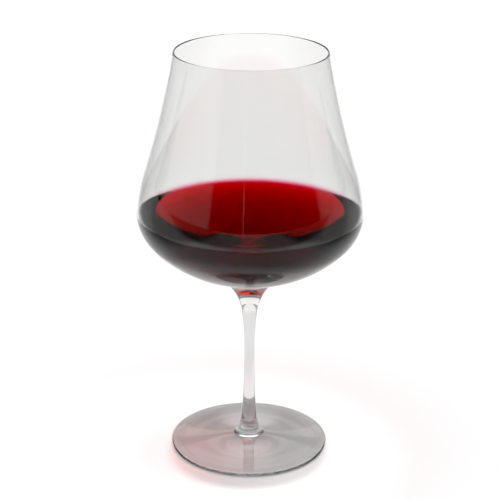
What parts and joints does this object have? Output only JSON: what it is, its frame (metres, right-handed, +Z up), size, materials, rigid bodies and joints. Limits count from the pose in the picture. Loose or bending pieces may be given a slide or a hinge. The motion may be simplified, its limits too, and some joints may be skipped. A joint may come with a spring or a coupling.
{
  "type": "stemmed wine glass",
  "caption": "Tall stemmed glass with a wide tulip bowl, slim drawn stem and round foot, about a third full of red wine.",
  "frame": {"origin": "where the glass's axis meets the surface it stands on", "axes": "+Z up along the axis of the bowl, stem and foot; X and Y are level and alike"},
  "size_m": [0.1246, 0.1246, 0.23],
  "materials": {
    "glass": "polished",
    "wine": "gloss"
  },
  "bodies": {
    "root": {"bowl": "glass", "stem": "glass", "foot": "glass", "wine": "wine"}
  },
  "joints": []
}
